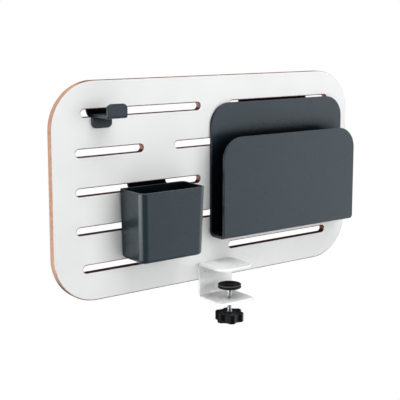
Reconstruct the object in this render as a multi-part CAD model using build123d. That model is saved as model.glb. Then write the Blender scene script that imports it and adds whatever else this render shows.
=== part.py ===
from build123d import *
import math
import os

# A slotted pegboard that clamps to a desk edge, with a pen cup, a document pocket and a hook.
# Millimetres. +X is right, the front faces -Y, +Z is up.
# The origin is where the clamp spindle's axis meets the face that rests on the desk top.

# Panel
board_width = 600.0
board_height = 340.0
board_thickness = 12.0
board_corner_radius = 73.0
laminate_thickness = 0.3
edge_bevel = 1.0

# Slots, in as many rows as fit: two slots in the odd rows and three in the even rows
slot_height = 12.0
slot_pitch = 60.0
first_row_drop = 49.0
slot_bridge = 60.0
outer_row_margin = 50.0
inner_row_margin = 40.0
middle_slot_length = 160.0

# Desk clamp bracket, bent from flat steel
bracket_width = 68.0
bracket_depth = 66.0
bracket_height = 60.0
bracket_thickness = 4.0
bracket_bend_radius = 3.0
bracket_edge_round = 0.6
top_corner_radius = 18.0
bottom_corner_radius = 4.0
board_overlap = 30.0
desk_pad_thickness = 1.0
desk_pad_inset = 3.0

# Screws that hold the panel to the bracket, from behind
board_screw_radius = 2.5
board_screw_spacing = 44.0
board_screw_drop = 15.0
board_screw_head_radius = 4.75
board_screw_head_height = 2.8
board_screw_head_round = 1.7
board_screw_key = 3.0
board_screw_key_depth = 1.6
board_screw_tip_gap = 0.4
board_hole_clearance = 0.25
washer_radius = 7.5
washer_thickness = 1.2

# Clamp spindle, M8, with a hexagon head moulded into the knob
spindle_radius = 4.0
spindle_reach = 41.5
spindle_head_key = 13.0
spindle_head_height = 5.3
spindle_neck_radius = 3.0
spindle_tip_chamfer = 0.5
thread_clearance = 0.08
running_clearance = 0.08
seat_clearance = 0.1

# Swivel pad on the spindle's upper end
pad_radius = 19.5
pad_cup_height = 2.4
pad_bevel = 0.8
pad_face_thickness = 3.5
pad_face_inset = 0.4
pad_rim_width = 2.2
pad_rim_height = 0.5
pad_well_radius = 6.0
pad_well_clearance = 0.2
pad_dimple_radius = 5.0
pad_dimple_depth = 0.5
pad_rest_clearance = 17.5
clip_radius = 5.0
clip_thickness = 0.8
clip_groove_depth = 0.6
clip_mouth = 4.0

# Six-lobed knob
knob_radius = 24.0
knob_lobes = 6
knob_lobe_turn = 5.0
knob_height = 15.0
knob_lobe_width = 10.2
knob_scallop_depth = 4.6
knob_lobe_round = 5.0
knob_edge_round = 1.4
knob_boss_round = 0.6
knob_boss_radius = 10.4
knob_boss_height = 1.0
knob_boss_gap = 19.2
knob_underside_dish = 2.0
knob_rim_width = 3.5

# Hanging tabs of the three accessories
tab_thickness = 4.0
tab_lip_overlap = 8.0
tab_bend_margin = 0.7
tab_corner_radius = 4.0
hang_clearance = 0.3
cut_margin = 1.0
same_place = 0.01

# Pen cup
cup_row = 3
cup_from_slot_middle = 20.0
cup_width = 122.0
cup_depth = 65.0
cup_height = 110.0
cup_wall = 2.8
cup_floor = 3.0
cup_draft = 3.0
cup_front_radius = 12.0
cup_back_radius = 6.5
cup_bottom_round = 6.0
cup_inner_round = 3.0
cup_rim_round = 0.8
cup_rim_above_tab = 2.0
cup_tab_offset = -1.0
cup_tab_width = 70.0

# Document pocket
pocket_row = 1
pocket_from_slot_middle = -4.25
pocket_width = 293.0
pocket_depth = 40.0
pocket_wall = 5.0
pocket_front_drop = 53.8
pocket_above_tab = 5.0
pocket_above_bracket = 42.0
pocket_corner_radius = 37.0
pocket_back_bend = 9.0
pocket_front_bend = 8.0
pocket_inner_bend = 3.0
pocket_edge_round = 1.0
pocket_tab_width = 150.0

# Hook
hook_row = 1
hook_from_slot_end = 34.5
hook_width = 34.5
hook_wall = 4.4
hook_reach = 50.0
hook_tip_rise = 22.3
hook_foot_drop = 17.7
hook_corner_radius = 8.0
hook_bend_radius = 5.0
hook_inner_bend = 1.5
hook_edge_round = 0.9

# Heights and depths that follow from the sizes above
desk_face = 0.0
bracket_top = desk_face + desk_pad_thickness + bracket_thickness
bracket_bottom = bracket_top - bracket_height
lower_plate_top = bracket_bottom + bracket_thickness
board_bottom = bracket_top - board_overlap
board_centre = board_bottom + board_height / 2
board_front = spindle_reach
board_back = board_front + board_thickness
bracket_front = board_front - bracket_depth
bracket_inner_face = board_front - bracket_thickness
board_screw_level = bracket_top - board_screw_drop
pad_bottom = lower_plate_top + pad_rest_clearance
pad_seam = pad_bottom + pad_cup_height
knob_boss_top = bracket_bottom - knob_boss_gap
knob_top = knob_boss_top - knob_boss_height
knob_bottom = knob_top - knob_height

# Planes: one on the panel's front, facing the viewer, and one for side profiles
face_plane = Plane(origin=(0, board_front, board_centre), x_dir=(1, 0, 0), z_dir=(0, -1, 0))
side_plane = Plane(origin=(0, 0, 0), x_dir=(0, 1, 0), z_dir=(1, 0, 0))


def row_count():
    # The last row stays at least as far from the lower edge as the first from the upper
    return int((board_height - 2 * first_row_drop) / slot_pitch) + 1


def row_level(row):
    # Height of a slot row's middle, with row 1 at the top
    return board_bottom + board_height - first_row_drop - (row - 1) * slot_pitch


def slot_floor(row):
    return row_level(row) - slot_height / 2


def row_slots(row):
    # Pairs of left and right ends of the slots in one row
    margin = outer_row_margin if row in (1, row_count()) else inner_row_margin
    end = board_width / 2 - margin
    if row % 2 == 1:
        return [(-end, -slot_bridge / 2), (slot_bridge / 2, end)]
    middle = middle_slot_length / 2
    return [(-end, -middle - slot_bridge), (-middle, middle), (middle + slot_bridge, end)]


def slot_middle(row, index):
    left, right = row_slots(row)[index]
    return (left + right) / 2


def side_box(y_low, y_high, z_low, z_high):
    # A rectangle in the side profile, from its corners
    centre = ((y_low + y_high) / 2, (z_low + z_high) / 2)
    return Pos(*centre) * Rectangle(y_high - y_low, z_high - z_low)


def across(profile, centre, width):
    # The solid of a side profile, along X
    return extrude(side_plane.offset(centre - width / 2) * profile, amount=width)


def cylinder_up(radius, z_low, z_high):
    return Pos(0, 0, z_low) * Cylinder(radius, z_high - z_low, align=(Align.CENTER, Align.CENTER, Align.MIN))


def turned(points):
    # A solid turned about Z from a half profile of radius and height
    return revolve(Plane.XZ * make_face(Polyline(*points, close=True)), Axis.Z)


def lengthwise(shape):
    # Edges that run along Y
    return shape.edges().filter_by(Axis.Y)


def crosswise(shape):
    # Edges that run along X
    return shape.edges().filter_by(Axis.X)


def make_panel():
    # Laminated first, then cut to shape, so the bevels go through the sheets into the wood
    outline = RectangleRounded(board_width, board_height, board_corner_radius)
    for row in range(1, row_count() + 1):
        for left, right in row_slots(row):
            middle = Pos((left + right) / 2, row_level(row) - board_centre)
            outline -= middle * SlotOverall(right - left, slot_height)
    panel = extrude(face_plane * outline, amount=-board_thickness)
    panel = chamfer(panel.faces().filter_by(Axis.Y).edges(), edge_bevel)
    hole = board_screw_radius + board_hole_clearance
    for x in screw_positions():
        drill = Cylinder(hole, board_thickness + 2 * cut_margin)
        panel -= along_board(drill, x, (board_front + board_back) / 2)
    seam_front = Plane(origin=(0, board_front + laminate_thickness, 0), z_dir=(0, -1, 0))
    seam_back = Plane(origin=(0, board_back - laminate_thickness, 0), z_dir=(0, -1, 0))
    front = split(panel, bisect_by=seam_front, keep=Keep.TOP)
    rest = split(panel, bisect_by=seam_front, keep=Keep.BOTTOM)
    core = split(rest, bisect_by=seam_back, keep=Keep.TOP)
    back = split(rest, bisect_by=seam_back, keep=Keep.BOTTOM)
    return core, front, back


def screw_positions():
    return (-board_screw_spacing / 2, board_screw_spacing / 2)


def along_board(shape, x, y):
    # Turns a shape made along +Z so that it runs along +Y, at the height of the panel's screws
    return Pos(x, y, board_screw_level) * Rot(-90, 0, 0) * shape


def make_bracket():
    outer = side_box(bracket_front, board_front, bracket_bottom, bracket_top)
    mouth_top = bracket_top - bracket_thickness
    mouth = side_box(bracket_front - bracket_thickness, bracket_inner_face, lower_plate_top, mouth_top)
    profile = outer - mouth
    inners = profile.vertices().group_by(Axis.X)[-2]
    profile = fillet(inners, bracket_bend_radius)
    backs = profile.vertices().group_by(Axis.X)[-1]
    profile = fillet(backs, bracket_bend_radius + bracket_thickness)
    bracket = across(profile, 0, bracket_width)
    fronts = bracket.edges().filter_by(Axis.Z).group_by(Axis.Y)[0]
    levels = fronts.group_by(Axis.Z)
    bracket = fillet(levels[-1], top_corner_radius)
    fronts = bracket.edges().filter_by(Axis.Z)
    bracket = fillet(fronts.group_by(Axis.Z)[0], bottom_corner_radius)
    bends = crosswise(bracket) - crosswise(bracket).group_by(Axis.Y)[0]
    corners = bracket.edges().filter_by(Axis.Z).filter_by(lambda e: e.length < bracket_height / 2)
    bracket = fillet(bracket.edges() - bends - corners, bracket_edge_round)
    bracket -= cylinder_up(spindle_radius + thread_clearance, bracket_bottom - cut_margin,
                           lower_plate_top + cut_margin)
    hole = board_screw_radius + thread_clearance
    for x in screw_positions():
        drill = Cylinder(hole, bracket_thickness + 2 * cut_margin)
        bracket -= along_board(drill, x, (bracket_inner_face + board_front) / 2)
    return bracket


def make_desk_pad():
    # The soft sheet under the upper plate, clear of the bend and set in from the edges
    y_low = bracket_front + desk_pad_inset
    y_high = bracket_inner_face - bracket_bend_radius - desk_pad_inset
    width = bracket_width - 2 * desk_pad_inset
    sheet = Pos(0, (y_low + y_high) / 2) * Rectangle(width, y_high - y_low)
    sheet = fillet(sheet.vertices().group_by(Axis.Y)[0], top_corner_radius - desk_pad_inset)
    return extrude(Pos(0, 0, desk_face) * sheet, amount=desk_pad_thickness)


def make_board_screws():
    # Button heads behind the panel, with tips that stop short of the bracket's inner face
    seat = board_back + washer_thickness
    length = seat - bracket_inner_face - board_screw_tip_gap
    screws = []
    for x in screw_positions():
        shank = Cylinder(board_screw_radius, length, align=(Align.CENTER, Align.CENTER, Align.MAX))
        head = Cylinder(board_screw_head_radius, board_screw_head_height,
                        align=(Align.CENTER, Align.CENTER, Align.MIN))
        head = fillet(head.edges().group_by(Axis.Z)[-1], board_screw_head_round)
        socket = RegularPolygon(board_screw_key / 2, 6, major_radius=False)
        top = Pos(0, 0, board_screw_head_height)
        screw = shank + head - extrude(top * socket, amount=-board_screw_key_depth)
        screws.append(along_board(screw, x, seat))
    return Compound(children=screws)


def make_board_washers():
    washers = []
    for x in screw_positions():
        ring = Circle(washer_radius) - Circle(board_screw_radius + board_hole_clearance)
        washers.append(along_board(extrude(ring, amount=washer_thickness), x, board_back))
    return Compound(children=washers)


def spindle_head_bottom():
    return knob_bottom + knob_underside_dish


def clip_level():
    # The clip lies on the pad cup's upper face
    return pad_seam + seat_clearance


def spindle_tip():
    return clip_level() + clip_thickness + 2 * seat_clearance + spindle_tip_chamfer


def make_spindle():
    head_low = spindle_head_bottom()
    head = extrude(Pos(0, 0, head_low) * RegularPolygon(spindle_head_key / 2, 6, major_radius=False),
                   amount=spindle_head_height)
    shoulder = pad_bottom - running_clearance
    shank = cylinder_up(spindle_radius, head_low, shoulder)
    neck = cylinder_up(spindle_neck_radius, shoulder, spindle_tip())
    neck = chamfer(neck.edges().group_by(Axis.Z)[-1], spindle_tip_chamfer)
    groove_low = clip_level() - seat_clearance / 2
    groove_high = clip_level() + clip_thickness + seat_clearance / 2
    groove = cylinder_up(spindle_neck_radius + cut_margin, groove_low, groove_high)
    groove -= cylinder_up(spindle_neck_radius - clip_groove_depth, groove_low, groove_high)
    return shank + neck - groove + head


def make_pad_clip():
    # An open ring, pushed on from the side into the spindle's groove
    bore = spindle_neck_radius - clip_groove_depth + seat_clearance / 2
    ring = Circle(clip_radius) - Circle(bore)
    ring -= Pos(clip_radius, 0) * Rectangle(2 * clip_radius, clip_mouth)
    return extrude(Pos(0, 0, clip_level()) * ring, amount=clip_thickness)


def make_pad_cup():
    # A disc bevelled at both outer edges, turned about the spindle
    bore = spindle_neck_radius + running_clearance
    return turned([
        (bore, pad_bottom),
        (pad_radius - pad_bevel, pad_bottom),
        (pad_radius, pad_bottom + pad_bevel),
        (pad_radius, pad_seam - pad_bevel),
        (pad_radius - pad_bevel, pad_seam),
        (bore, pad_seam),
    ])


def make_pad_face():
    # The gripping disc: a low rim round a dimpled field, with a well below for the spindle's end
    outer = pad_radius - pad_face_inset
    top = pad_seam + pad_face_thickness
    field = top - pad_rim_height
    well_roof = spindle_tip() + pad_well_clearance
    return turned([
        (0, well_roof),
        (pad_well_radius, well_roof),
        (pad_well_radius, pad_seam),
        (outer, pad_seam),
        (outer, top - pad_rim_height),
        (outer - pad_rim_height, top),
        (outer - pad_rim_width, top),
        (outer - pad_rim_width - pad_rim_height, field),
        (pad_dimple_radius + pad_dimple_depth, field),
        (pad_dimple_radius, field - pad_dimple_depth),
        (0, field - pad_dimple_depth),
    ])


def make_knob():
    # Each scallop is the arc through two lobe corners and its own deepest point
    blank = cylinder_up(knob_radius, knob_bottom, knob_top)
    half_gap = math.pi / knob_lobes - knob_lobe_width / 2 / knob_radius
    half_chord = knob_radius * math.sin(half_gap)
    rise = knob_radius * math.cos(half_gap) - knob_radius + knob_scallop_depth
    scallop_radius = (half_chord ** 2 + rise ** 2) / 2 / rise
    scallop = Pos(knob_radius - knob_scallop_depth + scallop_radius, 0, 0)
    scallop *= cylinder_up(scallop_radius, knob_bottom, knob_top)
    for lobe in range(knob_lobes):
        blank -= Rot(0, 0, knob_lobe_turn + (lobe + 0.5) * 360 / knob_lobes) * scallop
    blank = fillet(blank.edges().filter_by(Axis.Z), knob_lobe_round)
    blank = fillet(blank.faces().filter_by(Axis.Z).edges(), knob_edge_round)
    boss = cylinder_up(knob_boss_radius, knob_top, knob_boss_top)
    boss = fillet(boss.edges().group_by(Axis.Z)[-1], knob_boss_round)
    knob = blank + boss
    dish = cylinder_up(knob_radius - knob_scallop_depth - knob_rim_width, knob_bottom,
                       knob_bottom + knob_underside_dish)
    knob -= dish
    head_low = spindle_head_bottom()
    pocket = RegularPolygon(spindle_head_key / 2 + seat_clearance, 6, major_radius=False)
    knob -= extrude(Pos(0, 0, head_low) * pocket, amount=spindle_head_height + seat_clearance)
    knob -= cylinder_up(spindle_radius + seat_clearance, head_low, knob_boss_top)
    return knob


def make_tab(row, root, centre, width):
    # A tongue on the slot's lower edge that curves up behind the panel
    low = slot_floor(row) + hang_clearance
    lip_front = board_back + hang_clearance
    lip_top = slot_floor(row) + slot_height + tab_lip_overlap
    outer_bend = slot_height - hang_clearance - tab_bend_margin
    inner_bend = outer_bend - tab_thickness
    bend_start = lip_front - inner_bend
    bend_top = low + outer_bend
    quarter = side_box(bend_start, bend_start + outer_bend, low, bend_top)
    ring = Pos(bend_start, bend_top) * (Circle(outer_bend) - Circle(inner_bend))
    tongue = side_box(root, bend_start, low, low + tab_thickness)
    lip = side_box(lip_front, lip_front + tab_thickness, bend_top, lip_top)
    tab = across(tongue + (ring & quarter) + lip, centre, width)
    top_edges = lengthwise(tab).group_by(Axis.Z)[-1]
    return fillet(top_edges, tab_corner_radius)


def cup_rim():
    return slot_floor(cup_row) + hang_clearance + tab_thickness + cup_rim_above_tab


def cup_outline(draft, shrink, front_radius, back_radius):
    # The cup's section seen from above; the back stays flat against the panel
    back = board_front - hang_clearance - shrink
    front = board_front - hang_clearance - cup_depth + draft + shrink
    half = cup_width / 2 - draft - shrink
    centre = slot_middle(cup_row, 0) + cup_from_slot_middle
    section = Pos(centre, (back + front) / 2) * Rectangle(2 * half, back - front)
    section = fillet(section.vertices().group_by(Axis.Y)[0], front_radius)
    return fillet(section.vertices().group_by(Axis.Y)[-1], back_radius)


def cup_body(shrink, low, high, bottom_round):
    # A drafted tub with a rounded bottom, from its sections at the bottom and the rim
    front_radius = cup_front_radius - shrink
    back_radius = cup_back_radius - shrink
    sections = []
    for level in (low, high):
        draft = cup_draft * (cup_rim() - level) / cup_height
        sections.append(Pos(0, 0, level) * cup_outline(draft, shrink, front_radius, back_radius))
    tub = loft(sections, ruled=True)
    return fillet(tub.faces().sort_by(Axis.Z)[0].edges(), bottom_round)


def make_pen_cup():
    rim = cup_rim()
    bottom = rim - cup_height
    cup = cup_body(0, bottom, rim, cup_bottom_round)
    hollow = cup_body(cup_wall, bottom + cup_floor, rim, cup_inner_round)
    cup -= hollow
    cup = fillet(cup.faces().sort_by(Axis.Z)[-1].edges(), cup_rim_round)
    root = board_front - hang_clearance - cup_wall / 2
    centre = slot_middle(cup_row, 0) + cup_from_slot_middle + cup_tab_offset
    return cup + make_tab(cup_row, root, centre, cup_tab_width)


def make_pocket():
    centre = slot_middle(pocket_row, -1) + pocket_from_slot_middle
    back = board_front - hang_clearance
    front = back - pocket_depth
    low = bracket_top + pocket_above_bracket
    high = slot_floor(pocket_row) + hang_clearance + tab_thickness + pocket_above_tab
    front_top = high - pocket_front_drop
    outer = side_box(front, back, low, high)
    inside = side_box(front + pocket_wall, back - pocket_wall, low + pocket_wall, high)
    step = side_box(front, back - pocket_wall, front_top, high)
    profile = outer - inside - step
    floor_corners = profile.vertices().group_by(Axis.Y)[0].sort_by(Axis.X)
    profile = fillet(floor_corners[-1], pocket_back_bend)
    front_corner = profile.vertices().group_by(Axis.Y)[0].sort_by(Axis.X)[0]
    profile = fillet(front_corner, pocket_front_bend)
    inner = [v for v in profile.vertices() if abs(v.Y - low - pocket_wall) < same_place]
    profile = fillet(inner, pocket_inner_bend)
    pocket = across(profile, centre, pocket_width)
    tops = [e for e in lengthwise(pocket) if abs(e.center().Z - high) < same_place]
    pocket = fillet(tops, pocket_corner_radius)
    lips = [e for e in lengthwise(pocket) if abs(e.center().Z - front_top) < same_place]
    pocket = fillet(lips, pocket_corner_radius)
    bends = crosswise(pocket).filter_by_position(Axis.Z, low, low + 2 * pocket_back_bend)
    pocket = fillet(pocket.edges() - lengthwise(pocket) - bends, pocket_edge_round)
    root = back - pocket_wall / 2
    return pocket + make_tab(pocket_row, root, centre, pocket_tab_width)


def make_hook():
    centre = row_slots(hook_row)[0][0] + hook_from_slot_end
    back = board_front - hang_clearance
    low = slot_floor(hook_row) + hang_clearance
    shelf_top = low + hook_wall
    tip_front = board_front - hook_reach
    foot = side_box(back - hook_wall, back, low - hook_foot_drop, shelf_top)
    shelf = side_box(tip_front, back, low, shelf_top)
    tip = side_box(tip_front, tip_front + hook_wall, low, low + hook_tip_rise)
    profile = foot + shelf + tip
    outer = [v for v in profile.vertices()
             if abs(v.Y - low) < same_place and abs(v.X - tip_front) < same_place]
    profile = fillet(outer, hook_bend_radius)
    inner_tip = [v for v in profile.vertices()
                 if abs(v.Y - shelf_top) < same_place and abs(v.X - tip_front - hook_wall) < same_place]
    inner_foot = [v for v in profile.vertices()
                  if abs(v.Y - low) < same_place and abs(v.X - back + hook_wall) < same_place]
    profile = fillet(inner_tip + inner_foot, hook_inner_bend)
    hook = across(profile, centre, hook_width)
    ends = lengthwise(hook).group_by(Axis.Z)
    hook = fillet(ends[-1], hook_corner_radius)
    hook = fillet(lengthwise(hook).group_by(Axis.Z)[0], hook_corner_radius)
    bends = crosswise(hook).filter_by_position(Axis.Z, low - hook_bend_radius, shelf_top + hook_bend_radius)
    hook = fillet(hook.edges() - lengthwise(hook) - bends, hook_edge_round)
    root = back - hook_wall / 2
    return hook + make_tab(hook_row, root, centre, hook_width)


core, front_sheet, back_sheet = make_panel()
pieces = {
    "board_core": core,
    "front_laminate": front_sheet,
    "back_laminate": back_sheet,
    "clamp_bracket": make_bracket(),
    "desk_pad": make_desk_pad(),
    "board_screws": make_board_screws(),
    "board_washers": make_board_washers(),
    "clamp_screw": make_spindle(),
    "clamp_knob": make_knob(),
    "pad_cup": make_pad_cup(),
    "pad_face": make_pad_face(),
    "pad_clip": make_pad_clip(),
    "pen_cup": make_pen_cup(),
    "document_pocket": make_pocket(),
    "hook": make_hook(),
}

os.makedirs("parts", exist_ok=True)
for node, shape in pieces.items():
    export_step(shape, f"parts/{node}.step")
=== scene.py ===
import math

import bmesh
import bpy
from mathutils import Matrix, Vector


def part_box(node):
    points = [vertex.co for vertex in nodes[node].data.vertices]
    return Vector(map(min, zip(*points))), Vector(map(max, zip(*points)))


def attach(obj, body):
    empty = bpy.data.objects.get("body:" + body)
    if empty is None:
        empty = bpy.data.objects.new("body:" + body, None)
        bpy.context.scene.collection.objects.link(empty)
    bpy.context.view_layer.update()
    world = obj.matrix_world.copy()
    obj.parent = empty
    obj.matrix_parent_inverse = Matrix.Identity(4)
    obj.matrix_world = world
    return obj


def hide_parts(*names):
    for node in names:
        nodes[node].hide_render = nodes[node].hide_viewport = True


# A slotted pegboard on a desk clamp, with a pen cup, a document pocket and a hook.
# Metres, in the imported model's frame: +X right, the front faces -Y, +Z up.

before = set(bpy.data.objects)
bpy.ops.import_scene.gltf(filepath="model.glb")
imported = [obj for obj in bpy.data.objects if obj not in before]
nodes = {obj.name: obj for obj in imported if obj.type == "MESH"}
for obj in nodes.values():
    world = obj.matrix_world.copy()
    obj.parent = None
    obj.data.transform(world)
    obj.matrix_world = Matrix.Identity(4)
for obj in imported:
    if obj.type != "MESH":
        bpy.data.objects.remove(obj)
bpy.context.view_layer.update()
mm = 0.001
print("frame loaded with", len(nodes), "nodes")


# Node helpers

def putNode(tree, kind, sockets=None, **settings):
    # sockets: a value is set, another node's output is linked
    node = tree.nodes.new("ShaderNode" + kind)
    for name, value in settings.items():
        setattr(node, name, value)
    for name, value in (sockets or {}).items():
        if isinstance(value, bpy.types.NodeSocket):
            tree.links.new(value, node.inputs[name])
        else:
            node.inputs[name].default_value = value
    return node


def mathNode(tree, operation, first, second=0.0):
    return putNode(tree, "Math", {0: first, 1: second}, operation=operation).outputs[0]


def vectorNode(tree, operation, first, second=(0.0, 0.0, 0.0)):
    return putNode(tree, "VectorMath", {0: first, 1: second}, operation=operation).outputs


def spread(tree, value, low, high, toLow=0.0, toHigh=1.0):
    # Maps low..high of a value smoothly to toLow..toHigh
    node = putNode(tree, "MapRange", {"Value": value, "From Min": low, "From Max": high,
                                      "To Min": toLow, "To Max": toHigh},
                   interpolation_type="SMOOTHSTEP")
    return node.outputs[0]


def mixColour(tree, factor, first, second):
    # A Mix node has its colours in inputs 6 and 7 and in output 2
    return putNode(tree, "Mix", {0: factor, 6: first, 7: second}, data_type="RGBA").outputs[2]


def layer(tree, base, colour, value, levels, amount=1.0):
    # Lays a colour over the base as a value goes from the first level to the second
    return mixColour(tree, spread(tree, value, *levels, 0.0, amount), base, colour)


def tint(tree, base, colour, mask, amount):
    # Lays a share of a colour over the base where the mask is
    return mixColour(tree, mathNode(tree, "MULTIPLY", mask, amount), base, colour)


def rgb(red, green, blue):
    return (red, green, blue, 1.0)


def noiseAt(tree, place, scale, detail=2.0, roughness=0.5):
    node = putNode(tree, "TexNoise", {"Vector": place, "Scale": scale, "Detail": detail,
                                      "Roughness": roughness})
    return node.outputs["Fac"]


def stretched(tree, place, scale):
    return putNode(tree, "Mapping", {"Vector": place, "Scale": scale}).outputs[0]


def objectPlace(tree):
    return putNode(tree, "TexCoord").outputs["Object"]


def trueNormal(tree):
    return putNode(tree, "NewGeometry").outputs["Normal"]


def axesOf(tree, vector):
    return putNode(tree, "SeparateXYZ", {0: vector}).outputs


def newGroup(name, inputs, outputs):
    # inputs: name to default value, outputs: names of values
    tree = bpy.data.node_groups.new(name, "ShaderNodeTree")
    for socketName, value in inputs.items():
        socket = tree.interface.new_socket(name=socketName, in_out="INPUT", socket_type="NodeSocketFloat")
        socket.default_value = value
    for socketName in outputs:
        tree.interface.new_socket(name=socketName, in_out="OUTPUT", socket_type="NodeSocketFloat")
    return tree, tree.nodes.new("NodeGroupInput").outputs, tree.nodes.new("NodeGroupOutput").inputs


def useGroup(tree, group, **values):
    node = tree.nodes.new("ShaderNodeGroup")
    node.node_tree = group
    for name, value in values.items():
        node.inputs[name].default_value = value
    return node.outputs


# Shared effects

grainSkin = {"scale": 1800.0, "detail": 3.0, "roughness": 0.6, "patchScale": 14.0}


def makeMouldGrain(skin):
    # Spark-eroded mould skin: fine height, and broad soft patches
    tree, given, out = newGroup("mouldGrain", {"Scale": skin["scale"], "PatchScale": skin["patchScale"]},
                                ("Height", "Patch"))
    place = objectPlace(tree)
    height = noiseAt(tree, place, given["Scale"], skin["detail"], skin["roughness"])
    tree.links.new(height, out["Height"])
    tree.links.new(noiseAt(tree, place, given["PatchScale"]), out["Patch"])
    return tree


edgeWear = {"radius": 0.8 * mm, "samples": 6, "roundedLevels": (0.995, 0.86),
            "breakScale": 220.0, "breakDetail": 3.0, "breakLevels": (0.32, 0.62)}


def makeRubbedEdges(wear):
    # Where a rounded normal leaves the true one, broken up by noise
    tree, given, out = newGroup("rubbedEdges", {"Radius": wear["radius"], "Break": wear["breakScale"]},
                                ("Mask",))
    rounded = putNode(tree, "Bevel", {"Radius": given["Radius"]}, samples=wear["samples"]).outputs[0]
    alike = vectorNode(tree, "DOT_PRODUCT", trueNormal(tree), rounded)["Value"]
    edge = spread(tree, alike, *wear["roundedLevels"])
    noise = noiseAt(tree, objectPlace(tree), given["Break"], wear["breakDetail"])
    broken = spread(tree, noise, *wear["breakLevels"])
    tree.links.new(mathNode(tree, "MULTIPLY", edge, broken), out["Mask"])
    return tree


dustFall = {"reach": 10.0 * mm, "samples": 6, "shelterLevels": (0.75, 0.25), "upwardLevels": (0.1, 0.9),
            "breakScale": 160.0, "breakDetail": 4.0, "breakLevels": (0.35, 0.75)}


def makeSettledDust(dust):
    # Sheltered places that face up collect a little dust
    tree, given, out = newGroup("settledDust", {"Distance": dust["reach"], "Break": dust["breakScale"]},
                                ("Mask",))
    occlusion = putNode(tree, "AmbientOcclusion", {"Distance": given["Distance"]}, samples=dust["samples"])
    shelter = spread(tree, occlusion.outputs["AO"], *dust["shelterLevels"])
    upward = spread(tree, axesOf(tree, trueNormal(tree))["Z"], *dust["upwardLevels"])
    noise = noiseAt(tree, objectPlace(tree), given["Break"], dust["breakDetail"])
    flecks = spread(tree, noise, *dust["breakLevels"])
    sheltered = mathNode(tree, "MULTIPLY", shelter, upward)
    tree.links.new(mathNode(tree, "MULTIPLY", sheltered, flecks), out["Mask"])
    return tree


hollowShade = {"ownReach": 100.0 * mm, "ownLevels": (0.82, 0.54), "nearReach": 50.0 * mm,
               "nearLevels": (0.95, 0.35), "samples": 8}


def makeDeepShade(shade):
    # Mask for painted shade: inside a piece's own hollow, or shut in closely by other pieces
    tree, given, out = newGroup("deepShade", {"Distance": shade["ownReach"], "Near": shade["nearReach"]},
                                ("Mask",))
    own = putNode(tree, "AmbientOcclusion", {"Distance": given["Distance"]}, samples=shade["samples"],
                  only_local=True)
    near = putNode(tree, "AmbientOcclusion", {"Distance": given["Near"]}, samples=shade["samples"])
    hollow = spread(tree, own.outputs["AO"], *shade["ownLevels"])
    shutIn = spread(tree, near.outputs["AO"], *shade["nearLevels"])
    tree.links.new(mathNode(tree, "MAXIMUM", hollow, shutIn), out["Mask"])
    return tree


wiping = {"scale": 9.0, "stretch": (1.0, 1.0, 2.4), "detail": 4.0, "roughness": 0.65,
          "levels": (0.38, 0.66)}


def makeWipeMarks(wipe):
    # Broad hand and cloth marks that only change the gloss
    tree, given, out = newGroup("wipeMarks", {"Scale": wipe["scale"]}, ("Value",))
    place = stretched(tree, objectPlace(tree), wipe["stretch"])
    streaks = noiseAt(tree, place, given["Scale"], wipe["detail"], wipe["roughness"])
    tree.links.new(spread(tree, streaks, *wipe["levels"]), out["Value"])
    return tree


scratching = {"along": 1.0, "scale": 300.0, "detail": 3.0, "roughness": 0.7, "levels": (0.5, 0.72)}


def makeHairLines(scratch):
    # Fine scratches that run round or along, by the stretch in each direction
    inputs = {name: scratch["along"] for name in ("AlongX", "AlongY", "AlongZ")}
    tree, given, out = newGroup("hairLines", inputs | {"Scale": scratch["scale"]}, ("Mask",))
    along = putNode(tree, "CombineXYZ", {axis: given["Along" + axis] for axis in "XYZ"}).outputs[0]
    place = vectorNode(tree, "MULTIPLY", objectPlace(tree), along)["Vector"]
    lines = noiseAt(tree, place, given["Scale"], scratch["detail"], scratch["roughness"])
    tree.links.new(spread(tree, lines, *scratch["levels"]), out["Mask"])
    return tree


mouldGrain = makeMouldGrain(grainSkin)
rubbedEdges = makeRubbedEdges(edgeWear)
settledDust = makeSettledDust(dustFall)
deepShade = makeDeepShade(hollowShade)
wipeMarks = makeWipeMarks(wiping)
hairLines = makeHairLines(scratching)
print("shared effects made")


# Finishes

patchLevels = (0.35, 0.65)  # where a broad patch turns from one shade to the other


def newFinish(name):
    material = bpy.data.materials.new(name)
    material.use_nodes = True
    tree = material.node_tree
    shader = tree.nodes["Principled BSDF"]
    return material, tree, shader


def bumpOn(tree, shader, height, distance, strength):
    bump = putNode(tree, "Bump", {"Height": height, "Distance": distance, "Strength": strength})
    tree.links.new(bump.outputs[0], shader.inputs["Normal"])


def feed(tree, shader, **links):
    names = {"colour": "Base Color", "roughness": "Roughness", "coat": "Coat Weight"}
    for name, output in links.items():
        tree.links.new(output, shader.inputs[names[name]])


def setOn(shader, **values):
    names = {"colour": "Base Color", "roughness": "Roughness", "specular": "Specular IOR Level",
             "metallic": "Metallic", "coatRoughness": "Coat Roughness"}
    for name, value in values.items():
        shader.inputs[names[name]].default_value = value


def scratches(tree, along, scale):
    x, y, z = along
    return useGroup(tree, hairLines, AlongX=x, AlongY=y, AlongZ=z, Scale=scale)["Mask"]


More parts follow.
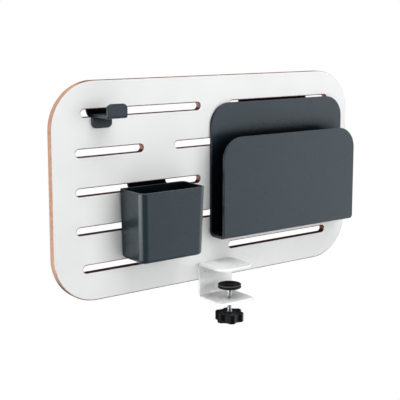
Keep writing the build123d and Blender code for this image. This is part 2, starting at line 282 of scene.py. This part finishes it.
boardLow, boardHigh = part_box("board_core")
beechLook = {
    "pale": rgb(0.585, 0.360, 0.260), "deep": rgb(0.455, 0.253, 0.174), "ringLevels": (0.34, 0.66),
    "rings": {"stretch": (0.06, 1.0, 0.5), "scale": 330.0, "detail": 2.0, "roughness": 0.55},
    "fibres": {"stretch": (0.025, 1.0, 1.0), "scale": 2200.0, "detail": 3.0, "roughness": 0.6},
    "fibreLevels": (0.5, 0.8), "fibreAmount": 0.45, "fibreHeight": 0.06 * mm, "fibreBump": 0.7,
    "flecks": {"stretch": (0.09, 1.0, 1.0), "scale": 990.0, "detail": 1.0, "roughness": 0.5},
    "fleck": rgb(0.34, 0.168, 0.108), "fleckLevels": (0.62, 0.72), "fleckAmount": 0.7,
    "paleScale": 12.0, "paleLevels": (0.3, 0.7), "paleAmount": 0.25,
    "dust": rgb(0.55, 0.5, 0.46), "dustReach": 6.0 * mm, "dustBreak": 300.0, "dustAmount": 0.1,
    # painted shade on faces that turn downward
    "paintedUnderShade": rgb(0.05, 0.032, 0.026), "paintedUnderFacing": (-0.3, -0.65), "paintedUnderAmount": 0.9,
    # painted shade along the top edge
    "paintedTopShade": rgb(0.135, 0.060, 0.040), "paintedTopAmount": 0.85,
    "paintedTopAbove": (boardHigh.z - 6.0 * mm, boardHigh.z - 0.8 * mm),
    # cutLow carries painted shade: the slots' walls darker low in the board
    "cutLow": rgb(0.20, 0.075, 0.055), "cutHigh": rgb(0.60, 0.30, 0.25), "cutBetween": (0.03, 0.20),
    "cutInset": (25.0 * mm, 30.0 * mm),  # from the panel's sides, and from its top and bottom
    "cutScale": 90.0, "cutLevels": (0.3, 0.7), "cutAmount": (0.92, 1.0),
    "slotDarkest": rgb(0.045, 0.009, 0.006), "slotDarkestFloors": (0.1, 0.7), "slotDarkestBevels": (0.3, 0.6),
    "roughness": (0.55, 0.72), "roughnessLevels": (0.3, 0.7), "specular": 0.15,
}


def woodStreaks(tree, place, size):
    # Noise drawn out along the axes with a small stretch
    drawn = stretched(tree, place, size["stretch"])
    return noiseAt(tree, drawn, size["scale"], size["detail"], size["roughness"])


def cutWalls(tree, place, look):
    # Picks out the slots' walls, which lie well inside the panel's outline
    middle = (boardLow + boardHigh) / 2
    half = (boardHigh - boardLow) / 2
    insetX, insetZ = look["cutInset"]
    axes = axesOf(tree, place)
    across = mathNode(tree, "ABSOLUTE", axes["X"])
    upDown = mathNode(tree, "ABSOLUTE", mathNode(tree, "SUBTRACT", axes["Z"], middle.z))
    inside = mathNode(tree, "MULTIPLY", mathNode(tree, "LESS_THAN", across, half.x - insetX),
                      mathNode(tree, "LESS_THAN", upDown, half.z - insetZ))
    uneven = spread(tree, noiseAt(tree, place, look["cutScale"]), *look["cutLevels"], *look["cutAmount"])
    return mathNode(tree, "MULTIPLY", inside, uneven)


def cutColour(tree, height, facing, look):
    # Browned by the cutter, with painted shade darker towards the lower slots, and darkest on the slots'
    # floors and bevels
    bevels = spread(tree, mathNode(tree, "ABSOLUTE", facing["Y"]), *look["slotDarkestBevels"])
    slotDarkest = mathNode(tree, "MAXIMUM", spread(tree, facing["Z"], *look["slotDarkestFloors"]), bevels)
    # Painted shade: darker towards the lower slots
    browned = layer(tree, look["cutLow"], look["cutHigh"], height, look["cutBetween"])
    return mixColour(tree, slotDarkest, browned, look["slotDarkest"])


def makeBeech(look):
    # Rings, fibres and flecks run along X; painted shade darkens the downward-facing lower edge and the top
    # edge
    material, tree, shader = newFinish("beechEdge")
    place = objectPlace(tree)
    height = axesOf(tree, place)["Z"]
    facing = axesOf(tree, trueNormal(tree))
    rings, fibres, flecks = (woodStreaks(tree, place, look[name]) for name in ("rings", "fibres", "flecks"))
    broad = noiseAt(tree, place, look["paleScale"])
    dust = useGroup(tree, settledDust, Distance=look["dustReach"], Break=look["dustBreak"])
    colour = layer(tree, look["pale"], look["deep"], rings, look["ringLevels"])
    colour = layer(tree, colour, look["deep"], fibres, look["fibreLevels"], look["fibreAmount"])
    colour = layer(tree, colour, look["fleck"], flecks, look["fleckLevels"], look["fleckAmount"])
    colour = layer(tree, colour, look["pale"], broad, look["paleLevels"], look["paleAmount"])
    colour = tint(tree, colour, look["dust"], dust["Mask"], look["dustAmount"])
    # Painted shade where a face turns downward
    colour = layer(tree, colour, look["paintedUnderShade"], facing["Z"], look["paintedUnderFacing"], look["paintedUnderAmount"])
    # Painted shade along the top edge
    colour = layer(tree, colour, look["paintedTopShade"], height, look["paintedTopAbove"], look["paintedTopAmount"])
    colour = mixColour(tree, cutWalls(tree, place, look), colour, cutColour(tree, height, facing, look))
    feed(tree, shader, colour=colour,
         roughness=spread(tree, fibres, *look["roughnessLevels"], *look["roughness"]))
    setOn(shader, specular=look["specular"])
    bumpOn(tree, shader, fibres, look["fibreHeight"], look["fibreBump"])
    return material


laminateLook = {
    "sheet": rgb(0.80, 0.805, 0.805), "shade": rgb(0.765, 0.77, 0.772), "patchScale": 7.0,
    "pearlScale": 1400.0, "pearlHeight": 0.03 * mm, "pearlBump": 0.35,
    "scuff": rgb(0.7, 0.7, 0.7), "scuffAlong": (0.05, 1.0, 0.6), "scuffScale": 420.0, "scuffAmount": 0.05,
    # painted shade along edges that tilt downward
    "paintedEdgeShade": rgb(0.18, 0.055, 0.045), "edgeShadeReach": 1.6 * mm, "edgeShadeTilt": (-0.03, -0.3),
    "edgeShadeSamples": 8, "markScale": 6.0, "roughness": (0.36, 0.46), "specular": 0.4,
}


def makeLaminate(look):
    # Painted shade: a brown line where the sheet's rounded edge tilts downward, along the slots' upper edges
    material, tree, shader = newFinish("whiteLaminate")
    grain = useGroup(tree, mouldGrain, Scale=look["pearlScale"], PatchScale=look["patchScale"])
    marks = useGroup(tree, wipeMarks, Scale=look["markScale"])
    scuffs = scratches(tree, look["scuffAlong"], look["scuffScale"])
    rounded = putNode(tree, "Bevel", {"Radius": look["edgeShadeReach"]}, samples=look["edgeShadeSamples"])
    tilt = axesOf(tree, rounded.outputs[0])["Z"]
    colour = layer(tree, look["sheet"], look["shade"], grain["Patch"], patchLevels)
    colour = tint(tree, colour, look["scuff"], scuffs, look["scuffAmount"])
    # Painted shade where the rounded edge tilts downward
    colour = layer(tree, colour, look["paintedEdgeShade"], tilt, look["edgeShadeTilt"])
    feed(tree, shader, colour=colour, roughness=spread(tree, marks["Value"], 0.0, 1.0, *look["roughness"]))
    setOn(shader, specular=look["specular"])
    bumpOn(tree, shader, grain["Height"], look["pearlHeight"], look["pearlBump"])
    return material


powderLook = {
    "coat": rgb(0.835, 0.84, 0.84), "shade": rgb(0.815, 0.821, 0.822), "patchScale": 24.0,
    "peelScale": 620.0, "peelHeight": 0.05 * mm, "peelBump": 0.12,
    "bare": rgb(0.68, 0.69, 0.70), "rubRadius": 0.7 * mm, "rubBreak": 260.0, "rubAmount": 0.12,
    "dust": rgb(0.6, 0.59, 0.57), "dustReach": 12.0 * mm, "dustBreak": 180.0, "dustAmount": 0.2,
    "roughness": (0.20, 0.30), "roughnessLevels": (0.3, 0.7), "specular": 0.5,
}


def makePowder(look):
    # Powder coat: orange peel, slightly worn where the desk rubs the edges
    material, tree, shader = newFinish("whitePowderCoat")
    grain = useGroup(tree, mouldGrain, Scale=look["peelScale"], PatchScale=look["patchScale"])
    rub = useGroup(tree, rubbedEdges, Radius=look["rubRadius"], Break=look["rubBreak"])
    dust = useGroup(tree, settledDust, Distance=look["dustReach"], Break=look["dustBreak"])
    colour = layer(tree, look["coat"], look["shade"], grain["Patch"], patchLevels)
    colour = tint(tree, colour, look["bare"], rub["Mask"], look["rubAmount"])
    colour = tint(tree, colour, look["dust"], dust["Mask"], look["dustAmount"])
    feed(tree, shader, colour=colour,
         roughness=spread(tree, grain["Patch"], *look["roughnessLevels"], *look["roughness"]))
    setOn(shader, specular=look["specular"])
    bumpOn(tree, shader, grain["Height"], look["peelHeight"], look["peelBump"])
    return material


steelLook = {
    "bright": rgb(0.72, 0.725, 0.73), "dull": rgb(0.5, 0.505, 0.515), "patchScale": 160.0,
    "dullLevels": (0.4, 0.75), "roughness": (0.16, 0.34), "roughnessLevels": (0.3, 0.75),
    "lineAlong": (0.15, 0.15, 3.0), "lineScale": 900.0, "lineHeight": 0.02 * mm, "lineBump": 0.35,
    "rubbed": rgb(0.85, 0.85, 0.85), "rubRadius": 0.3 * mm, "rubBreak": 500.0, "rubAmount": 0.5,
}


def makeSteel(look):
    # Zinc on turned steel: rings round the axis, duller patches
    material, tree, shader = newFinish("brightSteel")
    grain = useGroup(tree, mouldGrain, PatchScale=look["patchScale"])
    lines = scratches(tree, look["lineAlong"], look["lineScale"])
    rub = useGroup(tree, rubbedEdges, Radius=look["rubRadius"], Break=look["rubBreak"])
    colour = layer(tree, look["bright"], look["dull"], grain["Patch"], look["dullLevels"])
    colour = tint(tree, colour, look["rubbed"], rub["Mask"], look["rubAmount"])
    feed(tree, shader, colour=colour,
         roughness=spread(tree, grain["Patch"], *look["roughnessLevels"], *look["roughness"]))
    setOn(shader, metallic=1.0)
    bumpOn(tree, shader, lines, look["lineHeight"], look["lineBump"])
    return material


everyMoulding = {"speckLevels": (0.45, 0.7), "speckAmount": 0.35, "rubBreak": 260.0,
                 "dustReach": 14.0 * mm, "dustBreak": 220.0}


def paintedRimHighlight(tree, look):
    # Where a painted highlight goes: the upper outer rim of a turned piece, by distance from its axis and by
    # height
    place = objectPlace(tree)
    level = vectorNode(tree, "MULTIPLY", place, (1.0, 1.0, 0.0))["Vector"]
    away = vectorNode(tree, "LENGTH", level)["Value"]
    outside = spread(tree, away, *look["rimFrom"])
    above = spread(tree, axesOf(tree, place)["Z"], *look["rimAbove"])
    return mathNode(tree, "MULTIPLY", outside, above)


def makeMoulding(name, ownLook):
    # A moulded plastic or rubber: grain, polished edges, marks, dust, painted shade in the hollows and beside
    # other pieces, and a painted highlight on the rim where the look has one
    look = everyMoulding | ownLook
    material, tree, shader = newFinish(name)
    grain = useGroup(tree, mouldGrain, Scale=look["grainScale"], PatchScale=look["patchScale"])
    rub = useGroup(tree, rubbedEdges, Radius=look["rubRadius"], Break=look["rubBreak"])
    marks = useGroup(tree, wipeMarks, Scale=look["markScale"])
    dust = useGroup(tree, settledDust, Distance=look["dustReach"], Break=look["dustBreak"])
    deep = useGroup(tree, deepShade, Distance=look["paintedShadeReach"])
    colour = layer(tree, look["body"], look["shade"], grain["Patch"], patchLevels)
    colour = layer(tree, colour, look["speck"], grain["Height"], look["speckLevels"], look["speckAmount"])
    colour = tint(tree, colour, look["rubbed"], rub["Mask"], look["rubAmount"])
    # A painted highlight along the upper rim
    if "rim" in look:
        colour = mixColour(tree, paintedRimHighlight(tree, look), colour, look["rim"])
    colour = tint(tree, colour, look["dust"], dust["Mask"], look["dustAmount"])
    # Painted shade: the deep colour laid in hollows and beside other pieces
    colour = tint(tree, colour, look["deep"], deep["Mask"], look["paintedShadeAmount"])
    feed(tree, shader, colour=colour, roughness=spread(tree, marks["Value"], 0.0, 1.0, *look["roughness"]))
    setOn(shader, specular=look["specular"])
    if "sheen" in look:
        # A satin coat that fades out where the painted shade is, taking reflections out of the hollows
        feed(tree, shader, coat=spread(tree, deep["Mask"], 0.0, 1.0, look["sheen"], 0.0))
        setOn(shader, coatRoughness=look["sheenRoughness"])
    bumpOn(tree, shader, grain["Height"], look["grainHeight"], look["grainBump"])
    return material


greyLook = {
    "body": rgb(0.018, 0.032, 0.042), "shade": rgb(0.0165, 0.0297, 0.039), "patchScale": 11.0,
    "speck": rgb(0.022, 0.037, 0.048), "grainScale": 2100.0, "grainHeight": 0.05 * mm, "grainBump": 0.35,
    "rubbed": rgb(0.10, 0.125, 0.135), "rubRadius": 0.9 * mm, "rubAmount": 0.5,
    "dust": rgb(0.16, 0.165, 0.165), "dustAmount": 0.04,
    # deep is the colour of painted shade in hollows and beside other pieces
    "deep": rgb(0.002, 0.003, 0.004), "paintedShadeReach": 100.0 * mm, "paintedShadeAmount": 0.99,
    "markScale": 7.0, "roughness": (0.24, 0.30), "specular": 0.12, "sheen": 0.72, "sheenRoughness": 0.29,
}

knobLook = {
    "body": rgb(0.0042, 0.0047, 0.0056), "shade": rgb(0.0034, 0.0038, 0.0046), "patchScale": 60.0,
    "speck": rgb(0.0060, 0.0065, 0.0075), "grainScale": 1500.0, "grainHeight": 0.06 * mm, "grainBump": 0.4,
    "rubbed": rgb(0.03, 0.033, 0.036), "rubRadius": 0.8 * mm, "rubAmount": 0.5,
    "dust": rgb(0.10, 0.10, 0.10), "dustAmount": 0.02,
    # deep is the colour of painted shade in hollows and beside other pieces
    "deep": rgb(0.004, 0.004, 0.005), "paintedShadeReach": 20.0 * mm, "paintedShadeAmount": 0.8,
    "markScale": 40.0, "roughness": (0.28, 0.36), "specular": 0.18,
}

padLow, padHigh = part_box("pad_face")
padRadius = (padHigh.x - padLow.x) / 2
rubberLook = {
    "body": rgb(0.0045, 0.0050, 0.0060), "shade": rgb(0.0055, 0.0060, 0.0070), "patchScale": 90.0,
    "speck": rgb(0.0070, 0.0075, 0.0085), "grainScale": 2600.0, "grainHeight": 0.07 * mm, "grainBump": 0.55,
    "rubbed": rgb(0.020, 0.021, 0.023), "rubRadius": 0.6 * mm, "rubAmount": 0.5,
    # rim is the colour of a painted highlight along the pad's upper rim
    "rim": rgb(0.075, 0.079, 0.083), "rimFrom": (padRadius - 1.5 * mm, padRadius - 0.6 * mm),
    "rimAbove": (padHigh.z - 1.8 * mm, padHigh.z - 1.0 * mm),
    "dust": rgb(0.10, 0.10, 0.10), "dustAmount": 0.03,
    # deep is the colour of painted shade in hollows and beside other pieces
    "deep": rgb(0.005, 0.005, 0.006), "paintedShadeReach": 20.0 * mm, "paintedShadeAmount": 0.8,
    "markScale": 60.0, "roughness": (0.55, 0.7), "specular": 0.1,
}

foamLook = {
    "body": rgb(0.20, 0.21, 0.215), "shade": rgb(0.16, 0.17, 0.175), "patchScale": 45.0,
    "speck": rgb(0.27, 0.28, 0.285), "grainScale": 1100.0, "grainHeight": 0.2 * mm, "grainBump": 0.8,
    "rubbed": rgb(0.3, 0.31, 0.31), "rubRadius": 0.5 * mm, "rubAmount": 0.35,
    "dust": rgb(0.35, 0.34, 0.33), "dustAmount": 0.15,
    # deep is the colour of painted shade in hollows and beside other pieces
    "deep": rgb(0.08, 0.085, 0.087), "paintedShadeReach": 20.0 * mm, "paintedShadeAmount": 0.5,
    "markScale": 30.0, "roughness": (0.8, 0.95), "specular": 0.2,
}

finishes = {
    "beech_wood": makeBeech(beechLook),
    "white_laminate": makeLaminate(laminateLook),
    "white_steel": makePowder(powderLook),
    "bright_steel": makeSteel(steelLook),
    "grey_plastic": makeMoulding("greyMoulding", greyLook),
    "black_plastic": makeMoulding("blackMoulding", knobLook),
    "black_rubber": makeMoulding("blackRubber", rubberLook),
    "soft_foam": makeMoulding("softFoam", foamLook),
}
print("finishes made:", len(finishes))

nodeFinish = {
    "board_core": "beech_wood",
    "front_laminate": "white_laminate",
    "back_laminate": "white_laminate",
    "clamp_bracket": "white_steel",
    "board_screws": "bright_steel",
    "board_washers": "bright_steel",
    "pad_clip": "bright_steel",
    "clamp_screw": "bright_steel",
    "clamp_knob": "black_plastic",
    "pad_cup": "black_plastic",
    "pad_face": "black_rubber",
    "desk_pad": "soft_foam",
    "pen_cup": "grey_plastic",
    "document_pocket": "grey_plastic",
    "hook": "grey_plastic",
}


def dress(piece, slotName):
    piece.data.materials.clear()
    piece.data.materials.append(finishes[slotName])


for nodeName, slotName in nodeFinish.items():
    dress(nodes[nodeName], slotName)
print("finishes put on", len(nodeFinish), "nodes")


# Mesh helpers

sharpAngle = math.radians(32)


def meshPiece(name, shape):
    mesh = bpy.data.meshes.new(name)
    shape.to_mesh(mesh)
    shape.free()
    mesh.shade_smooth()
    mesh.set_sharp_from_angle(angle=sharpAngle)
    piece = bpy.data.objects.new(name, mesh)
    bpy.context.scene.collection.objects.link(piece)
    return piece


def ringStack(name, rings):
    # A closed skin through rings of points, each ring the same count, capped at both ends
    shape = bmesh.new()
    loops = [[shape.verts.new(point) for point in ring] for ring in rings]
    count = len(loops[0])
    for lower, upper in zip(loops, loops[1:]):
        for index in range(count):
            after = (index + 1) % count
            shape.faces.new((lower[index], lower[after], upper[after], upper[index]))
    shape.faces.new(list(reversed(loops[0])))
    shape.faces.new(loops[-1])
    bmesh.ops.recalc_face_normals(shape, faces=shape.faces)
    return meshPiece(name, shape)


def turnsOf(count):
    return [2 * math.pi * index / count for index in range(count)]


def ringOf(radii, height):
    # One radius for each step of a full turn
    turns = turnsOf(len(radii))
    return [(radius * math.cos(turn), radius * math.sin(turn), height) for radius, turn in zip(radii, turns)]


def turnedRings(profile, count):
    # profile: radius and height, row by row
    return [ringOf([radius] * count, height) for radius, height in profile]


# Threaded spindle

spindle = {
    "segments": 48, "crest": 4.0 * mm, "pitch": 1.25 * mm, "threadDepth": 0.62 * mm, "crestShare": 0.34,
    "rowsPerPitch": 10, "runOut": 1.5 * mm, "plainAboveHead": 1.0 * mm,
    "headKey": 13.0 * mm, "headHeight": 5.3 * mm, "headChamfer": 0.7 * mm,
    "headFace": ((0.0, 0.96), (0.4, 1.02)),  # shares of the chamfer's height and of half the key
    "neck": 3.0 * mm, "neckLength": 4.08 * mm, "tipChamfer": 0.5 * mm,
    "groove": 2.4 * mm, "grooveBelowTip": 1.55 * mm, "grooveHeight": 0.9 * mm,
}


def hexRing(size, height, limit):
    # The head's hexagon, with its corners turned off at the limit
    side = math.pi / 3
    radii = [size["headKey"] / 2 / math.cos(turn % side - side / 2) for turn in turnsOf(size["segments"])]
    return ringOf([min(radius, limit) for radius in radii], height)


def threadCut(phase, crestShare):
    # 0 on the crest, 1 in the root, along one pitch
    rest = max(0.0, abs(phase % 1.0 - 0.5) * 2 - crestShare) / (1 - crestShare)
    return rest * rest * (3 - 2 * rest)


def threadRings(size, low, high):
    # The thread's rows, which run out towards both ends
    rings = []
    rowCount = round((high - low) / size["pitch"] * size["rowsPerPitch"])
    for row in range(1, rowCount):
        height = low + (high - low) * row / rowCount
        fade = min(1.0, (height - low) / size["runOut"], (high - height) / size["runOut"])
        cuts = [threadCut(height / size["pitch"] - turn / (2 * math.pi), size["crestShare"])
                for turn in turnsOf(size["segments"])]
        rings.append(ringOf([size["crest"] - size["threadDepth"] * fade * cut for cut in cuts], height))
    return rings


def makeSpindle(size):
    # From the head up: hexagon, thread, shoulder, and a neck with the clip's groove
    low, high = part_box("clamp_screw")
    crest, neck, groove, chamfer = size["crest"], size["neck"], size["groove"], size["tipChamfer"]
    flat = size["headKey"] / 2
    corner = size["headKey"] / math.sqrt(3)
    headTop = low.z + size["headHeight"]
    threadStart = headTop + size["plainAboveHead"]
    shoulder = high.z - size["neckLength"]
    grooveLow = high.z - size["grooveBelowTip"]
    grooveHigh = grooveLow + size["grooveHeight"]
    head = [(low.z + up * size["headChamfer"], out * flat) for up, out in size["headFace"]]
    head += [(low.z + size["headChamfer"], corner), (headTop, corner)]
    end = [(crest, shoulder), (neck, shoulder), (neck, grooveLow), (groove, grooveLow), (groove, grooveHigh),
           (neck, grooveHigh), (neck, high.z - chamfer), (neck - chamfer, high.z)]
    rings = [hexRing(size, height, limit) for height, limit in head]
    rings += turnedRings([(crest, headTop), (crest, threadStart)], size["segments"])
    rings += threadRings(size, threadStart, shoulder)
    rings += turnedRings(end, size["segments"])
    piece = ringStack("clamp_spindle_thread", rings)
    dress(piece, "bright_steel")
    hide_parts("clamp_screw")
    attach(piece, "screw")


makeSpindle(spindle)
print("threaded spindle made")


# Gripping face of the clamp pad

gripFace = {
    "segments": 96, "well": 6.0 * mm, "wellDepth": 1.8 * mm, "rimWidth": 2.2 * mm, "rimHeight": 0.5 * mm,
    "edgeRound": 0.35 * mm, "edgeBend": 0.3, "rimBend": 0.4,  # the bends are shares of the edge's round
    "dimple": 5.0 * mm, "dimpleDepth": 0.5 * mm, "ribCount": 6, "ribHeight": 0.28 * mm, "ribMargin": 0.9 * mm,
    "ribShape": ((0.0, 0.0), (0.25, 0.8), (0.4, 1.0), (0.55, 0.8), (0.8, 0.0)),  # shares of pitch and height
}


def makeGripFace(size):
    # A turned rubber disc: a well below for the spindle's end, low ribs between the rim and a dimple above
    low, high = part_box("pad_face")
    outer = (high.x - low.x) / 2
    top = high.z
    field = top - size["rimHeight"]
    soft = size["edgeRound"]
    bend = soft * size["edgeBend"]
    innerRim = outer - size["rimWidth"]
    fieldEdge = innerRim - size["rimHeight"]
    profile = [(size["well"], low.z + size["wellDepth"]), (size["well"], low.z)]
    profile += [(outer - soft, low.z), (outer, low.z + soft), (outer, top - soft)]
    profile += [(outer - bend, top - bend), (outer - soft, top), (innerRim, top)]
    profile += [(innerRim - soft, top - soft * size["rimBend"]), (fieldEdge, field)]
    ribStart = fieldEdge - size["ribMargin"]
    dimpleEdge = size["dimple"] + size["dimpleDepth"]
    ribPitch = (ribStart - dimpleEdge - size["ribMargin"]) / size["ribCount"]
    for rib in range(size["ribCount"]):
        for share, lift in size["ribShape"]:
            profile.append((ribStart - (rib + share) * ribPitch, field + lift * size["ribHeight"]))
    profile += [(dimpleEdge, field), (size["dimple"], field - size["dimpleDepth"])]
    piece = ringStack("pad_grip_face", turnedRings(profile, size["segments"]))
    dress(piece, "black_rubber")
    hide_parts("pad_face")
    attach(piece, "pad")


makeGripFace(gripFace)
print("grip face made")


# Foam sheet under the clamp's upper plate

foamSheet = {
    "cornerRadius": 15.0 * mm, "cornerSteps": 14, "crown": 0.12 * mm, "crownInset": 5.0 * mm, "fill": 0.9,
    "softEdge": 0.55 * mm, "edgeBend": (0.3, 0.35),  # shares of the soft edge, inwards and upwards
}


def foamOutline(low, high, size, inset):
    # Square behind, two round corners in front, walked the same way at every inset
    left, right = low.x + inset, high.x - inset
    front, back = low.y + inset, high.y - inset
    radius = size["cornerRadius"] - inset
    points = []
    for centreX, startTurn in ((left + radius, math.pi), (right - radius, 1.5 * math.pi)):
        for step in range(size["cornerSteps"] + 1):
            turn = startTurn + step / size["cornerSteps"] * math.pi / 2
            points.append((centreX + radius * math.cos(turn), front + radius + radius * math.sin(turn)))
    points.append((right, back))
    points.append((left, back))
    return points


def makeFoamSheet(size):
    # Glued flat above, with a soft edge and a slight crown below
    low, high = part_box("desk_pad")
    soft = size["softEdge"]
    crownEdge = low.z + size["crown"]
    bendIn, bendUp = size["edgeBend"]
    rows = ((0.0, high.z), (0.0, low.z + soft), (soft * bendIn, crownEdge + soft * bendUp),
            (soft, crownEdge), (size["crownInset"], low.z))
    rings = [[(x, y, height) for x, y in foamOutline(low, high, size, inset)] for inset, height in rows]
    piece = ringStack("desk_foam_sheet", rings)
    dress(piece, "soft_foam")
    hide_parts("desk_pad")
    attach(piece, "board")


makeFoamSheet(foamSheet)
print("foam sheet made")


# Stage: a floor well below the clamp, seamless white, soft lamps

floorLook = {"drop": 0.75, "reach": 9.0, "colour": rgb(0.88, 0.88, 0.88), "roughness": 0.9, "specular": 0.1,
             "fade": (0.35, 0.95)}


def makeFloor(look):
    # Grey under the object for its shadow, white further out, and clear from below
    shape = bmesh.new()
    bmesh.ops.create_grid(shape, x_segments=2, y_segments=2, size=look["reach"])
    floor = meshPiece("stageFloor", shape)
    floor.location = (0.0, 0.0, -look["drop"])
    material, tree, shader = newFinish("paleFloor")
    setOn(shader, colour=look["colour"], roughness=look["roughness"], specular=look["specular"])
    rays = putNode(tree, "LightPath").outputs
    shown = mathNode(tree, "MAXIMUM", rays["Is Camera Ray"], rays["Is Glossy Ray"])
    shown = mathNode(tree, "MAXIMUM", shown, rays["Is Transmission Ray"])
    away = vectorNode(tree, "LENGTH", objectPlace(tree))["Value"]
    faded = mathNode(tree, "MULTIPLY", spread(tree, away, *look["fade"]), shown)
    white = putNode(tree, "Emission", {"Color": rgb(1.0, 1.0, 1.0), "Strength": 1.0})
    seamless = putNode(tree, "MixShader", {0: faded, 1: shader.outputs[0], 2: white.outputs[0]})
    clear = putNode(tree, "BsdfTransparent")
    underside = putNode(tree, "NewGeometry").outputs["Backfacing"]
    either = putNode(tree, "MixShader", {0: underside, 1: seamless.outputs[0], 2: clear.outputs[0]})
    tree.links.new(either.outputs[0], tree.nodes["Material Output"].inputs["Surface"])
    floor.data.materials.append(material)
    floor.visible_glossy = False


studio = {"ambient": 0.30, "darkEnd": (-0.58, -0.81, -0.15), "darkLevels": (0.55, 0.95), "darkest": 0.08,
          "brightEnd": (0.966, -0.259, 0.0), "brightLevels": (0.45, 0.95), "brightness": (0.015, 1.65)}


def towards(tree, end):
    # How far a ray's direction agrees with one end of the studio
    direction = putNode(tree, "TexCoord").outputs["Generated"]
    return vectorNode(tree, "DOT_PRODUCT", direction, Vector(end).normalized())["Value"]


def makeWorld(look):
    # White to the camera; reflections see a studio that is bright to the right and darkest in front, left
    world = bpy.data.worlds.new("studio")
    bpy.context.scene.world = world
    world.use_nodes = True
    tree = world.node_tree
    background = tree.nodes["Background"]
    background.inputs["Color"].default_value = rgb(1.0, 1.0, 1.0)
    rays = putNode(tree, "LightPath").outputs
    toCamera = rays["Is Camera Ray"]
    mirrored = mathNode(tree, "MAXIMUM", rays["Is Glossy Ray"], rays["Is Transmission Ray"])
    dimmed = spread(tree, towards(tree, look["darkEnd"]), *look["darkLevels"], 1.0, look["darkest"])
    graded = spread(tree, towards(tree, look["brightEnd"]), *look["brightLevels"], *look["brightness"])
    reflected = mathNode(tree, "MULTIPLY", mirrored, mathNode(tree, "MULTIPLY", dimmed, graded))
    shown = mathNode(tree, "ADD", reflected, toCamera)
    diffuse = mathNode(tree, "SUBTRACT", 1.0, mathNode(tree, "MAXIMUM", mirrored, toCamera))
    ambient = mathNode(tree, "MULTIPLY", diffuse, look["ambient"])
    tree.links.new(mathNode(tree, "ADD", shown, ambient), background.inputs["Strength"])


plainLamp = {"aim": (0.0, 0.0, 0.12), "spread": math.pi,
             "lights": True, "mirrored": False}  # whether it falls on surfaces, and whether it shows in them
lamps = {
    "keyLamp": {"place": (0.78, -2.00, 0.42), "width": 1.5, "height": 1.0, "watts": 20.2},
    "frontLamp": {"place": (0.45, -1.75, 1.45), "width": 1.4, "height": 1.0, "watts": 5.0},
    "leftLamp": {"place": (-1.95, 0.36, -0.20), "width": 1.5, "height": 0.7, "watts": 21.0},
    "leftSheen": {"place": (-1.99, 0.10, -0.20), "width": 2.6, "height": 0.7, "watts": 31.5,
                  "lights": False, "mirrored": True},
    "clampFill": {"place": (-0.55, -1.55, 0.10), "width": 0.1, "height": 0.1, "watts": 0.015,
                  "aim": (0.0, 0.0, -0.075), "spread": math.radians(5)},
    "backLamp": {"place": (0.50, 2.00, 0.20), "width": 1.6, "height": 1.2, "watts": 9.0},
    "topLamp": {"place": (-0.1, -0.40, 2.15), "width": 1.8, "height": 1.8, "watts": 42.0, "mirrored": True},
}


def makeLamp(name, size):
    light = bpy.data.lights.new(name, "AREA")
    light.shape = "RECTANGLE"
    light.size = size["width"]
    light.size_y = size["height"]
    light.energy = size["watts"]
    light.spread = size["spread"]
    lamp = bpy.data.objects.new(name, light)
    lamp.location = size["place"]
    lamp.rotation_mode = "QUATERNION"
    lamp.rotation_quaternion = (Vector(size["aim"]) - lamp.location).to_track_quat("-Z", "Y")
    lamp.visible_camera = False
    lamp.visible_diffuse = size["lights"]
    lamp.visible_glossy = size["mirrored"]
    bpy.context.scene.collection.objects.link(lamp)


makeFloor(floorLook)
makeWorld(studio)
for lampName, ownSize in lamps.items():
    makeLamp(lampName, plainLamp | ownSize)
print("stage made with", len(lamps), "lamps")


# Camera at the photograph's viewing angle

view = {"place": (-0.91814, -1.18669, 0.40338), "yaw": math.radians(35.859), "pitch": math.radians(8.490),
        "roll": math.radians(0.02), "lens": 84.056, "sensor": 36.0, "shiftY": -0.10}


def makeCamera(size):
    yaw, pitch, roll = size["yaw"], size["pitch"], size["roll"]
    forward = Vector((math.sin(yaw) * math.cos(pitch), math.cos(yaw) * math.cos(pitch), -math.sin(pitch)))
    level = Vector((math.cos(yaw), -math.sin(yaw), 0.0))
    upright = level.cross(forward)
    right = math.cos(roll) * level + math.sin(roll) * upright
    up = math.cos(roll) * upright - math.sin(roll) * level
    data = bpy.data.cameras.new("photoCamera")
    data.lens = size["lens"]
    data.sensor_width = size["sensor"]
    data.shift_y = size["shiftY"]
    camera = bpy.data.objects.new("photoCamera", data)
    turned = Matrix((right, up, -forward)).transposed().to_4x4()
    camera.matrix_world = Matrix.Translation(size["place"]) @ turned
    bpy.context.scene.collection.objects.link(camera)
    bpy.context.scene.camera = camera


makeCamera(view)
bpy.context.scene.view_settings.view_transform = "Standard"
print("camera set")
